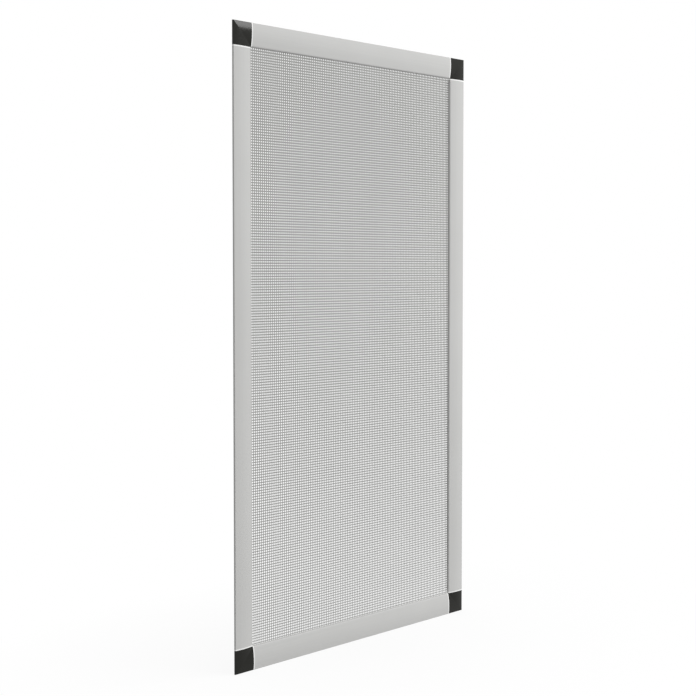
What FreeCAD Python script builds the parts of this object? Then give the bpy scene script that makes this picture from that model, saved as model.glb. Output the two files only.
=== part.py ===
import FreeCAD, Part
import math
import os

# A flat insect screen for a window: four lengths of one hollow aluminium section are pushed onto four
# moulded corners, and round cord (spline) holds a woven mesh in a groove at the back.
# The front faces -Y, +X is to the viewer's right, and the origin lies on the face of the bottom edge.

# Overall size
frame_width = 550.0
frame_height = 1000.0

# Mesh, drawn as a film with ridges for its yarns, uprights in front and level ones behind, and with a
# plain grid of openings that together are as open as the cells of the real weave
yarn_pitch = 4.13
yarn_width = 2.0
yarn_height = 0.4
mesh_sink = 0.2
opening_spacing = 60.0
opening_side = 31.0

# Spline and the groove that takes it, with one layer of mesh beside the spline and one over it
spline_diameter = 3.4
spline_clearance = 0.2
spline_sink = 0.1
groove_width = spline_diameter + spline_clearance + yarn_height
groove_depth = spline_sink + spline_diameter + spline_clearance + yarn_height

# Rail section, measured across from the outer edge and forward from the back face
rail_width = 37.0
roof_over_groove = 3.7
edge_thickness = 4.0
rebate_width = 5.0
crown_from_edge = 13.5
camber_radius = 105.0
outer_edge_radius = 0.8
inner_edge_radius = 3.0
back_edge_break = 0.4
wall = 1.2
lip_width = 2.4
crown_thickness = groove_depth + roof_over_groove
rebate_depth = crown_thickness - edge_thickness
lip_set_back = 3 * yarn_height + mesh_sink
groove_inner = rail_width - lip_width
groove_outer = groove_inner - groove_width

# Corner mouldings
leg_length = 45.0
leg_clearance = 0.15
leg_root = 2.0
butt_gap = 0.15

# Depths of the mesh's layers and the place of its turned-in edge
film_front = lip_set_back - yarn_height
film_back = film_front - yarn_height
hem_outer = groove_inner - yarn_height

half_width = frame_width / 2
back_y = crown_thickness - edge_thickness / 2


class Side:
    """One side of the frame: where its outer edge starts, which way it runs and which way is inwards."""

    def __init__(self, start, along, inward, length):
        self.start = FreeCAD.Vector(*start)
        self.along = FreeCAD.Vector(*along)
        self.inward = FreeCAD.Vector(*inward)
        self.length = length

    def point(self, across, forward, run):
        """A point across from the outer edge, forward of the back face, at a run along the side."""
        depth = FreeCAD.Vector(0, back_y - forward, 0)
        return self.start + self.inward * across + self.along * run + depth

    def edge(self, points, run):
        """A section's edge in place: two points make a line, and three an arc through the middle one."""
        placed = [self.point(across, forward, run) for across, forward in points]
        if len(placed) == 2:
            return Part.LineSegment(*placed).toShape()
        return Part.Arc(*placed).toShape()

    def extrude(self, section, start, end):
        """The solid of a closed section between two stations along the side."""
        face = Part.Face(Part.Wire([self.edge(points, start) for points in section]))
        return face.extrude(self.along * (end - start))

    def stations(self, near, far, at_end):
        """Two distances from one end of the side, as stations in running order."""
        if at_end:
            return self.length - far, self.length - near
        return near, far


bottom = Side((-half_width, 0, 0), (1, 0, 0), (0, 0, 1), frame_width)
top = Side((-half_width, 0, frame_height), (1, 0, 0), (0, 0, -1), frame_width)
left = Side((-half_width, 0, 0), (0, 0, 1), (1, 0, 0), frame_height)
right = Side((half_width, 0, 0), (0, 0, 1), (-1, 0, 0), frame_height)


def polyline(points):
    """The straight edges that join a row of points."""
    return list(zip(points, points[1:]))


def arc(centre, radius, first, last):
    """Start, middle and end of an arc, with its angles counted from straight forward towards inside."""
    angles = (first, (first + last) / 2, last)
    return [(centre[0] + radius * math.sin(turn), centre[1] + radius * math.cos(turn)) for turn in angles]


camber_centre = (crown_from_edge, crown_thickness - camber_radius)


def outline():
    """The section's outside: edge, cambered face, rounded inner edge, lip, groove, flat back and rebate."""
    inner_fall = (rail_width - crown_from_edge) ** 2 / (2 * camber_radius)
    inner_radius = min(inner_edge_radius, crown_thickness - inner_fall - lip_set_back)
    outer_run = crown_from_edge - outer_edge_radius
    inner_run = rail_width - inner_radius - crown_from_edge
    outer_turn = math.asin(outer_run / (camber_radius - outer_edge_radius))
    inner_turn = math.asin(inner_run / (camber_radius - inner_radius))
    face = arc(camber_centre, camber_radius, -outer_turn, inner_turn)
    outer_rise = face[0][1] - outer_edge_radius * math.cos(outer_turn)
    inner_rise = face[2][1] - inner_radius * math.cos(inner_turn)
    outer_round = arc((outer_edge_radius, outer_rise), outer_edge_radius, -math.pi / 2, -outer_turn)
    inner_round = arc((rail_width - inner_radius, inner_rise), inner_radius, inner_turn, math.pi / 2)
    back = [
        inner_round[2],
        (rail_width, lip_set_back),
        (groove_inner, lip_set_back),
        (groove_inner, groove_depth),
        (groove_outer, groove_depth),
        (groove_outer, 0),
        (rebate_width + back_edge_break, 0),
        (rebate_width, back_edge_break),
        (rebate_width, rebate_depth),
        (0, rebate_depth),
        outer_round[0],
    ]
    return [outer_round, face, inner_round] + polyline(back)


def chamber(inset):
    """The section of the rail's hollow, or of the leg that fills it, inset from the section's outside."""
    outer_limit = rebate_width + inset
    inner_limit = groove_outer - inset
    radius = camber_radius - inset
    outer_turn = math.asin((crown_from_edge - outer_limit) / radius)
    inner_turn = math.asin((inner_limit - crown_from_edge) / radius)
    roof = arc(camber_centre, radius, -outer_turn, inner_turn)
    floor = [roof[2], (inner_limit, inset), (outer_limit, inset), roof[0]]
    return [roof] + polyline(floor)


def rail(side):
    """One length of the hollow section, cut square to fit between two corners."""
    start = rail_width + butt_gap
    end = side.length - start
    return side.extrude(outline(), start, end).cut(side.extrude(chamber(wall), start, end))


def corner_half(side, at_end):
    """Half of a corner: a stub of the outside section, mitred, with the leg that its rail slides onto."""
    stub = side.extrude(outline(), *side.stations(0, rail_width, at_end))
    tip = side.length if at_end else 0
    butt = side.length - rail_width if at_end else rail_width
    triangle = [(0, tip), (0, butt), (rail_width, butt), (0, tip)]
    mitre = Part.Face(Part.makePolygon([side.point(across, 0, run) for across, run in triangle]))
    stub = stub.common(mitre.extrude(FreeCAD.Vector(0, -crown_thickness, 0)))
    leg_end = rail_width + butt_gap + leg_length
    leg = side.extrude(
        chamber(wall + leg_clearance), *side.stations(rail_width - leg_root, leg_end, at_end)
    )
    return stub.fuse(leg)


def corner(level, upright, at_level_end, at_upright_end):
    """A corner moulding: its two mitred halves in one piece."""
    halves = corner_half(level, at_level_end).fuse(corner_half(upright, at_upright_end))
    return halves.removeSplitter()


def spread(span, spacing):
    """Places at one spacing across the mesh, evenly about the middle of a span of the frame."""
    count = int((span - 2 * groove_inner) / spacing)
    first = (span - (count - 1) * spacing) / 2
    return [first + number * spacing for number in range(count)]


def ridge_centres(span):
    """The yarns that run clear of the openings, which are the ones drawn as ridges."""
    reach = (opening_side + yarn_width) / 2 + yarn_height
    middles = spread(span, opening_spacing)
    yarns = spread(span, yarn_pitch)
    return [yarn for yarn in yarns if all(abs(yarn - middle) > reach for middle in middles)]


def ridged_layer(span, middle, root, tip):
    """Section of one half of the mesh: half of the film's thickness with a ridge for each yarn."""
    points = [(hem_outer, middle), (hem_outer, root)]
    for centre in ridge_centres(span):
        near = centre - yarn_width / 2
        far = centre + yarn_width / 2
        points += [(near, root), (near, tip), (far, tip), (far, root)]
    points += [(span - hem_outer, root), (span - hem_outer, middle), (hem_outer, middle)]
    return polyline(points)


def plan_block(inset, back, front):
    """The frame's own rectangle, inset on all sides, between two depths."""
    corner_point = FreeCAD.Vector(inset - half_width, back_y - front, inset)
    return Part.makeBox(frame_width - 2 * inset, front - back, frame_height - 2 * inset, corner_point)


def openings():
    """The grid of openings through the film."""
    blocks = []
    for across in spread(frame_width, opening_spacing):
        for height in spread(frame_height, opening_spacing):
            middle = FreeCAD.Vector(across - half_width, back_y - film_front, height)
            low = middle - FreeCAD.Vector(opening_side / 2, 0, opening_side / 2)
            blocks.append(Part.makeBox(opening_side, film_front - film_back, opening_side, low))
    return Part.makeCompound(blocks)


def insect_mesh():
    """The woven sheet: ridged on both faces, with its edge turned forward into the groove and over."""
    middle = (film_front + film_back) / 2
    uprights = left.extrude(
        ridged_layer(frame_width, middle, film_front, lip_set_back), hem_outer, frame_height - hem_outer
    )
    levels = bottom.extrude(
        ridged_layer(frame_height, middle, film_back, film_back - yarn_height),
        hem_outer,
        frame_width - hem_outer,
    )
    turned_up = plan_block(hem_outer, middle, groove_depth).cut(
        plan_block(groove_inner, middle, groove_depth)
    )
    over_start = groove_outer + spline_clearance
    over_back = groove_depth - yarn_height
    turned_over = plan_block(over_start, over_back, groove_depth).cut(
        plan_block(groove_inner, over_back, groove_depth)
    )
    return uprights.fuse([levels, turned_up, turned_over]).cut(openings()).removeSplitter()


def spline(side, end_distance):
    """One length of round cord in a side's groove."""
    radius = spline_diameter / 2
    across = groove_outer + spline_clearance / 2 + radius
    forward = groove_depth - yarn_height - spline_clearance / 2 - radius
    start = side.point(across, forward, end_distance)
    return Part.makeCylinder(radius, side.length - 2 * end_distance, start, side.along)


level_spline_end = groove_outer + spline_clearance
pieces = {
    "top_rail": rail(top),
    "bottom_rail": rail(bottom),
    "left_stile": rail(left),
    "right_stile": rail(right),
    "corner_top_left": corner(top, left, False, True),
    "corner_top_right": corner(top, right, True, True),
    "corner_bottom_left": corner(bottom, left, False, False),
    "corner_bottom_right": corner(bottom, right, True, False),
    "insect_mesh": insect_mesh(),
    "spline_top": spline(top, level_spline_end),
    "spline_bottom": spline(bottom, level_spline_end),
    "spline_left": spline(left, hem_outer),
    "spline_right": spline(right, hem_outer),
}

os.makedirs("parts", exist_ok=True)
for name, shape in pieces.items():
    shape.exportStep(f"parts/{name}.step")
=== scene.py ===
import math
import random

import bpy
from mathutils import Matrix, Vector


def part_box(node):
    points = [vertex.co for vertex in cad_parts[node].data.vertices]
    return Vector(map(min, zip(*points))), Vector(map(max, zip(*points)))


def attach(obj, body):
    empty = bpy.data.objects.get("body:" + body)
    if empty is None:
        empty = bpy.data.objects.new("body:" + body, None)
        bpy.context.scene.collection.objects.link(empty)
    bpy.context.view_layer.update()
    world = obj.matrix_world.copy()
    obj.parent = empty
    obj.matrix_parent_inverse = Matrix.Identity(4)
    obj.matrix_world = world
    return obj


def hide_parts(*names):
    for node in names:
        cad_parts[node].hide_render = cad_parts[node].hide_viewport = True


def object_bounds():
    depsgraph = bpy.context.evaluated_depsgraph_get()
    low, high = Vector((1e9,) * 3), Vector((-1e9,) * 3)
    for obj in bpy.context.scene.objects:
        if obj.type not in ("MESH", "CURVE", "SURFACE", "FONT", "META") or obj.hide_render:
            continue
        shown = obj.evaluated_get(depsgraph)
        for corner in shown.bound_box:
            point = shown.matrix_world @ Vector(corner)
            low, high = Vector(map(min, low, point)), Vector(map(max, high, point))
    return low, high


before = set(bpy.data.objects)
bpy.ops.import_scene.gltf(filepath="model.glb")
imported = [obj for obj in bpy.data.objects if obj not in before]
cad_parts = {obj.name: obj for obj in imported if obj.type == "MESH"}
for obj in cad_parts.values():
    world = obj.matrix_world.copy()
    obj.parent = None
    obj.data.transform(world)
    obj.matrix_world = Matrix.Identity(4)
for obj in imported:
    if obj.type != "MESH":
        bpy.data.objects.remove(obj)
cad_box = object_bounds()


# Rails and stiles: four lengths of one extruded aluminium section, sawn square and pushed onto the corners.
# A satin light grey coat covers the faint lines that the die left along each length. A pale painted
# highlight runs along both ends of each length, beside each corner.
RAIL_RUNS = {"top_rail": "X", "bottom_rail": "X", "left_stile": "Z", "right_stile": "Z"}
COAT_DARK = (0.535, 0.535, 0.525)
COAT_LIGHT = (0.565, 0.565, 0.555)
COAT_TONE_RANGE = (0.15, 0.35)
COAT_ROUGHNESS = (0.38, 0.50)
COAT_SURFACE = {"Metallic": 0.0, "IOR": 1.45}
# The colour and width of the painted highlight along both ends of each length
END_HIGHLIGHT = (0.92, 0.92, 0.91)
END_HIGHLIGHT_WIDTH = 0.0024
DIE_LINES_ACROSS = 1500.0
DIE_LINES_ALONG = 2.0
DIE_LINES = {"Scale": 1.0, "Detail": 4.0}
DIE_LINE_BUMP = {"Strength": 0.15, "Distance": 0.00003}
PEEL = {"Scale": 900.0, "Detail": 2.0}
PEEL_BUMP = {"Strength": 0.2, "Distance": 0.00004}
COAT_CLOUD = {"Scale": 5.0, "Detail": 3.0}
# The sockets at which Blender's Mix node takes and gives colours
MIX_COLOURS = (6, 7)
MIXED_COLOUR = 2


def add_node(material, kind, inputs, **settings):
    """A shader node with its inputs set, each to a value or to another node's output."""
    node = material.node_tree.nodes.new("ShaderNode" + kind)
    for setting, value in settings.items():
        setattr(node, setting, value)
    for socket, value in inputs.items():
        if isinstance(value, bpy.types.NodeSocket):
            material.node_tree.links.new(value, node.inputs[socket])
        else:
            node.inputs[socket].default_value = value
    return node


def new_material(name, constants):
    """A material whose shader has the given constants on its own sockets."""
    material = bpy.data.materials.new(name)
    material.use_nodes = True
    shader = material.node_tree.nodes["Principled BSDF"]
    for socket, value in constants.items():
        shader.inputs[socket].default_value = value
    return material, shader


def add_noise(material, place, pattern):
    """The output of a noise texture with a pattern's scale and detail."""
    return add_node(material, "TexNoise", {"Vector": place, **pattern}).outputs[0]


def blend_colours(material, factor, first, second):
    """The colour between two others, or between an output and a colour, at a factor."""
    mix = add_node(material, "Mix", {0: factor}, data_type="RGBA")
    for socket, colour in zip(MIX_COLOURS, (first, second)):
        if isinstance(colour, bpy.types.NodeSocket):
            material.node_tree.links.new(colour, mix.inputs[socket])
        else:
            mix.inputs[socket].default_value = (*colour, 1)
    return mix.outputs[MIXED_COLOUR]


def rail_coat(node_name, run):
    """The coat of one length: die lines along it, a fine peel all over, and a painted highlight at both
    ends.
    """
    material, shader = new_material("coat_" + node_name, COAT_SURFACE)
    place = add_node(material, "TexCoord", {}).outputs["Object"]
    stretch = [DIE_LINES_ALONG if axis == run else DIE_LINES_ACROSS for axis in "XYZ"]
    lengthwise = add_node(material, "Mapping", {"Vector": place, "Scale": stretch}).outputs[0]
    die_lines = add_noise(material, lengthwise, DIE_LINES)
    peel = add_noise(material, place, PEEL)
    cloud = add_noise(material, place, COAT_CLOUD)
    shade = add_node(material, "Math", {0: die_lines, 1: cloud}, operation="MULTIPLY")
    darkest, lightest = COAT_TONE_RANGE
    tone = add_node(
        material,
        "MapRange",
        {"Value": shade.outputs[0], "From Min": darkest, "From Max": lightest},
    )
    coat = blend_colours(material, tone.outputs[0], COAT_DARK, COAT_LIGHT)
    low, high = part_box(node_name)
    axis = "XYZ".index(run)
    middle = (low[axis] + high[axis]) / 2
    half = (high[axis] - low[axis]) / 2
    along = add_node(material, "SeparateXYZ", {0: place}).outputs[axis]
    offset = add_node(material, "Math", {0: along, 1: middle}, operation="SUBTRACT")
    reach = add_node(material, "Math", {0: offset.outputs[0]}, operation="ABSOLUTE")
    # A pale painted highlight along both ends, beside the corners
    end_highlight = add_node(
        material,
        "MapRange",
        {"Value": reach.outputs[0], "From Min": half - END_HIGHLIGHT_WIDTH, "From Max": half - END_HIGHLIGHT_WIDTH / 2},
    )
    colour = blend_colours(material, end_highlight.outputs[0], coat, END_HIGHLIGHT)
    material.node_tree.links.new(colour, shader.inputs["Base Color"])
    smoothest, roughest = COAT_ROUGHNESS
    rough = add_node(material, "MapRange", {"Value": peel, "To Min": smoothest, "To Max": roughest})
    material.node_tree.links.new(rough.outputs[0], shader.inputs["Roughness"])
    lined = add_node(material, "Bump", {"Height": die_lines, **DIE_LINE_BUMP})
    peeled = add_node(material, "Bump", {"Height": peel, "Normal": lined.outputs[0], **PEEL_BUMP})
    material.node_tree.links.new(peeled.outputs[0], shader.inputs["Normal"])
    return material


def set_material(piece, material):
    """Gives a piece one material all over."""
    piece.data.materials.clear()
    piece.data.materials.append(material)


for node_name, run in RAIL_RUNS.items():
    set_material(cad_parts[node_name], rail_coat(node_name, run))


# Corners: charcoal plastic mouldings with a mitred, cambered cap and two legs that fill the rails' hollows.
# The mould left a fine satin grain on the caps, a little smoother in patches where hands have held them.
CORNERS = ("corner_top_left", "corner_top_right", "corner_bottom_left", "corner_bottom_right")
CHARCOAL_DARK = (0.003, 0.003, 0.001)
CHARCOAL_LIGHT = (0.006, 0.006, 0.003)
PLASTIC_SURFACE = {"IOR": 1.35}
GRAIN = {"Scale": 1800.0, "Detail": 2.0}
GRAIN_BUMP = {"Strength": 0.12, "Distance": 0.00003}
GRAIN_ROUGHNESS = (0.14, 0.20)
HANDLED_PATCHES = {"Scale": 60.0, "Detail": 4.0}


def corner_plastic():
    """Charcoal plastic with a fine moulded grain."""
    material, shader = new_material("charcoal_plastic", PLASTIC_SURFACE)
    place = add_node(material, "TexCoord", {}).outputs["Object"]
    grain = add_noise(material, place, GRAIN)
    patches = add_noise(material, place, HANDLED_PATCHES)
    colour = blend_colours(material, patches, CHARCOAL_DARK, CHARCOAL_LIGHT)
    material.node_tree.links.new(colour, shader.inputs["Base Color"])
    smoothest, roughest = GRAIN_ROUGHNESS
    rough = add_node(material, "MapRange", {"Value": patches, "To Min": smoothest, "To Max": roughest})
    material.node_tree.links.new(rough.outputs[0], shader.inputs["Roughness"])
    bump = add_node(material, "Bump", {"Height": grain, **GRAIN_BUMP})
    material.node_tree.links.new(bump.outputs[0], shader.inputs["Normal"])
    return material


charcoal = corner_plastic()
for node_name in CORNERS:
    set_material(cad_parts[node_name], charcoal)


# Mesh: one sheet of coated glass-fibre yarn, woven plain and heated until the coating stuck where yarns
# cross. Level yarns pass in front of and behind the straight uprights, and the coating thickens upwards.
# The sheet lies on the back lip, and its edge is turned into the groove, where the spline grips it.
YARN_PITCH = 0.00413
YARN_WIDTH_LOW = 0.0014
YARN_WIDTH_HIGH = 0.00235
YARN_HEIGHT = 0.0004
YARN_CRIMP = 0.00025
YARN_DRIFT = 0.00003
DRIFT_SEED = 7
WEAVE_FROM_BACK = 0.0006
LIP_FROM_EDGE = 0.0346
OPENING_FROM_EDGE = 0.037
LEVEL_DROP = 0.0009
YARN_DARK = (0.323, 0.325, 0.315)
YARN_LIGHT = (0.363, 0.365, 0.354)
YARN_SURFACE = {"Roughness": 0.55, "IOR": 1.45}
YARN_DUST = {"Scale": 9.0, "Detail": 3.0}
FIBRES = {"Scale": 2500.0, "Detail": 2.0}
FIBRE_BUMP = {"Strength": 0.3, "Distance": 0.00005}
# The two kinds of yarn in section, in shares of a yarn's width and height
LEVEL_SECTION = [(0.0, 0.5), (-0.5, -0.5), (0.5, -0.5)]
UPRIGHT_SECTION = [(-0.5, 0.0), (-0.25, -0.5), (0.25, -0.5), (0.5, 0.0), (0.25, 0.5), (-0.25, 0.5)]

drift = random.Random(DRIFT_SEED)
mesh_low, mesh_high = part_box("insect_mesh")
weave_y = mesh_high[1] - WEAVE_FROM_BACK
hem_y = mesh_low[1] + YARN_HEIGHT / 2


def yarn_places(low, high):
    """Where the yarns lie across the frame's opening, evenly about the middle, each a little adrift."""
    count = int((high - low - 2 * OPENING_FROM_EDGE) / YARN_PITCH)
    first = (low + high - (count - 1) * YARN_PITCH) / 2
    return [first + number * YARN_PITCH + drift.uniform(-YARN_DRIFT, YARN_DRIFT) for number in range(count)]


def yarn_width(height):
    """How wide the coating makes a yarn at a height in the sheet."""
    share = (height - mesh_low[2]) / (mesh_high[2] - mesh_low[2])
    return YARN_WIDTH_LOW + (YARN_WIDTH_HIGH - YARN_WIDTH_LOW) * share


def hem_path(edge, lip, inward):
    """The turned-in end of a yarn, from its tip to the lip: places along the yarn and in depth."""
    turn = lip - inward * YARN_HEIGHT / 2
    before_turn = turn - inward * YARN_HEIGHT
    return [(edge, hem_y), (before_turn, hem_y), (turn, hem_y + YARN_HEIGHT), (turn, weave_y)]


def add_yarn(points, faces, path, width_axis, section):
    """Adds one closed yarn: its section swept along a path, with its width along one axis."""
    start = len(points)
    sides = len(section)
    for number, place in enumerate(path):
        before = path[max(number - 1, 0)]
        after = path[min(number + 1, len(path) - 1)]
        depth_axis = (after - before).normalized().cross(width_axis)
        width = yarn_width(place.z)
        for across, deep in section:
            points.append(place + width_axis * across * width + depth_axis * deep * YARN_HEIGHT)
    for ring in range(len(path) - 1):
        for side in range(sides):
            near = start + ring * sides + side
            beside = start + ring * sides + (side + 1) % sides
            faces.append((near, beside, beside + sides, near + sides))
    last = start + (len(path) - 1) * sides
    faces.append(tuple(range(start + sides - 1, start - 1, -1)))
    faces.append(tuple(range(last, last + sides)))


def woven_mesh():
    """The sheet's yarns in one mesh."""
    points = []
    faces = []
    low, high = cad_box
    left_lip = low[0] + LIP_FROM_EDGE
    right_lip = high[0] - LIP_FROM_EDGE
    bottom_lip = low[2] + LIP_FROM_EDGE
    top_lip = high[2] - LIP_FROM_EDGE
    uprights = yarn_places(low[0], high[0])
    levels = yarn_places(low[2] - LEVEL_DROP, high[2] - LEVEL_DROP)
    bottom_hem = hem_path(mesh_low[2], bottom_lip, 1)
    top_hem = hem_path(mesh_high[2], top_lip, -1)[::-1]
    for x in uprights:
        path = [Vector((x, y, z)) for z, y in bottom_hem + top_hem]
        add_yarn(points, faces, path, Vector((1, 0, 0)), UPRIGHT_SECTION)
    left_hem = hem_path(mesh_low[0], left_lip, 1)
    right_hem = hem_path(mesh_high[0], right_lip, -1)[::-1]
    for row, z in enumerate(levels):
        weave = [(x, weave_y + YARN_CRIMP * (-1) ** (column + row)) for column, x in enumerate(uprights)]
        path = [Vector((x, y, z)) for x, y in left_hem + weave + right_hem]
        add_yarn(points, faces, path, Vector((0, 0, 1)), LEVEL_SECTION)
    data = bpy.data.meshes.new("woven_mesh")
    data.from_pydata(points, [], faces)
    return data


def yarn_material():
    """Grey coated yarn, a little paler in patches, where dust has settled on it."""
    material, shader = new_material("coated_yarn", YARN_SURFACE)
    place = add_node(material, "TexCoord", {}).outputs["Object"]
    dust = add_noise(material, place, YARN_DUST)
    colour = blend_colours(material, dust, YARN_DARK, YARN_LIGHT)
    material.node_tree.links.new(colour, shader.inputs["Base Color"])
    fibres = add_noise(material, place, FIBRES)
    bump = add_node(material, "Bump", {"Height": fibres, **FIBRE_BUMP})
    material.node_tree.links.new(bump.outputs[0], shader.inputs["Normal"])
    return material


woven = bpy.data.objects.new("woven_mesh", woven_mesh())
bpy.context.collection.objects.link(woven)
set_material(woven, yarn_material())
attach(woven, "root")
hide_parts("insect_mesh")


# Spline: four lengths of black ribbed cord, pressed into the groove in the back with a roller after the
# mesh was laid over it. The ribs grip the groove's walls, and the lengths meet square in the corners.
SPLINES = {"spline_top": 0, "spline_bottom": 0, "spline_left": 2, "spline_right": 2}
RIBS = 10
POINTS_PER_RIB = 4
RIB_DEPTH = 0.00022
PRESS_STEP = 0.012
PRESS_WAVE = 0.00012
CORD_DARK = (0.012, 0.012, 0.012)
CORD_DUSTY = (0.035, 0.034, 0.032)
CORD_SURFACE = {"Roughness": 0.6, "IOR": 1.45}
CORD_DUST = {"Scale": 120.0, "Detail": 5.0}
CORD_BUMP = {"Strength": 0.2, "Distance": 0.0001}


def ribbed_cord(node_name, axis):
    """One length of spline: a ribbed section that the roller pressed in to a slightly uneven depth."""
    low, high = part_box(node_name)
    radius = (high[1] - low[1]) / 2
    middle = (Vector(low) + Vector(high)) / 2
    length = high[axis] - low[axis]
    steps = round(length / PRESS_STEP)
    sides = POINTS_PER_RIB * RIBS
    across = 2 - axis
    # Turns the ring the other way along X than along Z, so that its faces look outward on both
    way_round = axis - 1
    points = []
    for step in range(steps + 1):
        press = PRESS_WAVE * drift.random() if 0 < step < steps else 0
        for side in range(sides):
            turn = 2 * math.pi * side / sides
            valley = (1 - math.cos(RIBS * turn)) / 2
            reach = radius - PRESS_WAVE - RIB_DEPTH * valley
            place = middle.copy()
            place[axis] = low[axis] + length * step / steps
            place[across] += reach * math.cos(turn)
            place[1] += way_round * reach * math.sin(turn) - press
            points.append(place)
    faces = []
    for step in range(steps):
        for side in range(sides):
            near = step * sides + side
            beside = step * sides + (side + 1) % sides
            faces.append((near, beside, beside + sides, near + sides))
    faces.append(tuple(range(sides - 1, -1, -1)))
    faces.append(tuple(range(steps * sides, (steps + 1) * sides)))
    data = bpy.data.meshes.new(node_name + "_cord")
    data.from_pydata(points, [], faces)
    return data


def cord_material():
    """Black cord with a matt, slightly dusty skin."""
    material, shader = new_material("spline_cord", CORD_SURFACE)
    place = add_node(material, "TexCoord", {}).outputs["Object"]
    dust = add_noise(material, place, CORD_DUST)
    colour = blend_colours(material, dust, CORD_DARK, CORD_DUSTY)
    material.node_tree.links.new(colour, shader.inputs["Base Color"])
    bump = add_node(material, "Bump", {"Height": dust, **CORD_BUMP})
    material.node_tree.links.new(bump.outputs[0], shader.inputs["Normal"])
    return material


cord_skin = cord_material()
for node_name, axis in SPLINES.items():
    cord = bpy.data.objects.new(node_name + "_cord", ribbed_cord(node_name, axis))
    bpy.context.collection.objects.link(cord)
    set_material(cord, cord_skin)
    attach(cord, "root")
    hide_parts(node_name)


# Studio: a wide floor under an even surround, so that the screen stands against plain white. The camera
# sees both as white, with the screen's faint shadow at its foot, and reflections see the floor duller.
# Other rays meet a grey floor and a softer surround, which light the screen from all round.
FLOOR_HALF = 12.0
FLOOR_MIRRORED = 0.86
FLOOR_BOUNCE = 0.20
SHADOW_SHARE = 0.16
SHADOW_REACH = (0.8, 0.5)
SURROUND_LIGHT = 0.62
SEEN_WHITE = 1.0
WHITE = (1, 1, 1, 1)

floor_data = bpy.data.meshes.new("floor")
floor_sides = [(-1, -1), (1, -1), (1, 1), (-1, 1)]
floor_points = [(x * FLOOR_HALF, y * FLOOR_HALF, cad_box[0][2]) for x, y in floor_sides]
floor_data.from_pydata(floor_points, [], [(0, 1, 2, 3)])
floor = bpy.data.objects.new("floor", floor_data)
bpy.context.collection.objects.link(floor)


def seen_directly(tree, rays):
    """1 for rays that show the studio itself: straight, by reflection or through something clear."""
    seen = rays["Is Camera Ray"]
    for kind in ("Is Glossy Ray", "Is Transmission Ray"):
        seen = add_node(tree, "Math", {0: seen, 1: rays[kind]}, operation="MAXIMUM").outputs[0]
    return seen


floor_material = bpy.data.materials.new("white_floor")
floor_material.use_nodes = True
floor_material.node_tree.nodes.clear()
floor_rays = add_node(floor_material, "LightPath", {}).outputs
floor_level = add_node(
    floor_material,
    "MapRange",
    {"Value": floor_rays["Is Glossy Ray"], "To Min": SEEN_WHITE, "To Max": FLOOR_MIRRORED},
)
plain = add_node(floor_material, "Emission", {"Color": WHITE, "Strength": floor_level.outputs[0]})
shaded = add_node(floor_material, "BsdfDiffuse", {"Color": WHITE})
floor_place = add_node(floor_material, "TexCoord", {}).outputs["Object"]
shadow_scale = [1 / SHADOW_REACH[0], 1 / SHADOW_REACH[1], 1]
foot_place = add_node(floor_material, "Mapping", {"Vector": floor_place, "Scale": shadow_scale}).outputs[0]
gradient = add_node(floor_material, "TexGradient", {"Vector": foot_place}, gradient_type="SPHERICAL")
nearness = gradient.outputs["Fac"]
share = add_node(floor_material, "Math", {0: nearness, 1: SHADOW_SHARE}, operation="MULTIPLY").outputs[0]
shown = add_node(floor_material, "MixShader", {0: share, 1: plain.outputs[0], 2: shaded.outputs[0]})
bounce = add_node(floor_material, "BsdfDiffuse", {"Color": (FLOOR_BOUNCE, FLOOR_BOUNCE, FLOOR_BOUNCE, 1)})
floor_mix = add_node(
    floor_material,
    "MixShader",
    {0: seen_directly(floor_material, floor_rays), 1: bounce.outputs[0], 2: shown.outputs[0]},
)
add_node(floor_material, "OutputMaterial", {"Surface": floor_mix.outputs[0]})
set_material(floor, floor_material)

surround = bpy.data.worlds.new("surround")
surround.use_nodes = True
bpy.context.scene.world = surround
surround.node_tree.nodes.clear()
surround_rays = add_node(surround, "LightPath", {}).outputs
fill = add_node(surround, "Background", {"Color": WHITE, "Strength": SURROUND_LIGHT})
backdrop = add_node(surround, "Background", {"Color": WHITE, "Strength": SEEN_WHITE})
surround_mix = add_node(
    surround,
    "MixShader",
    {0: seen_directly(surround, surround_rays), 1: fill.outputs[0], 2: backdrop.outputs[0]},
)
add_node(surround, "OutputWorld", {"Surface": surround_mix.outputs[0]})


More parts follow.
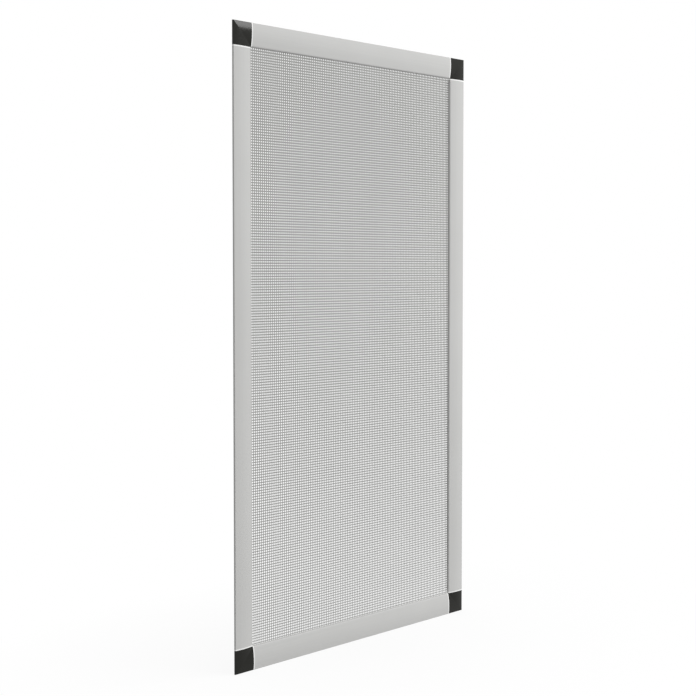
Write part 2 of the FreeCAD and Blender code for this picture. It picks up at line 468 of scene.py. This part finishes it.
# Lamps: a soft key lamp in front and to the right, a panel that lifts the upper right, and a narrow strip
# that shows only as a reflection along the top of the nearest corner.
KEY_HEIGHT = math.radians(16)
KEY_SIDE = math.radians(30)
KEY_SOFTNESS = math.radians(30)
KEY_STRENGTH = 1.48
PANELS = {
    "right_panel": {
        "at": (1.7, -1.3, 1.3),
        "to": (0.1, 0, 0.7),
        "size": (0.8, 0.8),
        "watts": 17.0,
        "mirrored": False,
    },
    "corner_strip": {
        "at": (0.545, -0.863, 1.43),
        "to": (-0.26, 0, 0.98),
        "size": (0.16, 0.30),
        "watts": 1.4,
        "mirrored": True,
    },
}


def place_lamp(name, lamp, at, to, mirrored):
    """Puts a lamp at a place, turned towards another. It either lights the screen or is mirrored in it."""
    stand = bpy.data.objects.new(name, lamp)
    bpy.context.collection.objects.link(stand)
    stand.location = at
    stand.rotation_euler = (Vector(to) - Vector(at)).to_track_quat("-Z", "Y").to_euler()
    stand.visible_glossy = mirrored
    stand.visible_diffuse = not mirrored


key = bpy.data.lights.new("key_lamp", "SUN")
key.energy = KEY_STRENGTH
key.angle = KEY_SOFTNESS
key_level = Vector((math.sin(KEY_SIDE), -math.cos(KEY_SIDE), 0))
key_from = key_level * math.cos(KEY_HEIGHT) + Vector((0, 0, math.sin(KEY_HEIGHT)))
place_lamp("key_lamp", key, at=key_from, to=(0, 0, 0), mirrored=False)
for name, panel in PANELS.items():
    lamp = bpy.data.lights.new(name, "AREA")
    lamp.shape = "RECTANGLE"
    lamp.size, lamp.size_y = panel["size"]
    lamp.energy = panel["watts"]
    place_lamp(name, lamp, panel["at"], panel["to"], panel["mirrored"])


# Camera: stands to the left of the screen, a little above its middle, and looks at it from an angle. Its
# place and its lens were fitted to the frame's edges in the photograph.
IMAGE_SIDE = 696
SENSOR_WIDTH = 36.0
FOCAL_PIXELS = 1347.3
FARTHEST_SEEN = 100.0
EYE = (-1.6311, -1.5451, 0.6246)
EYE_TURN = math.radians(46.116)
EYE_TILT = math.radians(-2.480)
PICTURE_SHIFT = -0.03

lens = bpy.data.cameras.new("camera")
lens.sensor_width = SENSOR_WIDTH
lens.lens = SENSOR_WIDTH * FOCAL_PIXELS / IMAGE_SIDE
lens.shift_y = PICTURE_SHIFT
lens.clip_end = FARTHEST_SEEN
eye = bpy.data.objects.new("camera", lens)
bpy.context.collection.objects.link(eye)
eye.location = EYE
eye.rotation_euler = (math.pi / 2 + EYE_TILT, 0, -EYE_TURN)
bpy.context.scene.camera = eye
bpy.context.scene.view_settings.view_transform = "Standard"
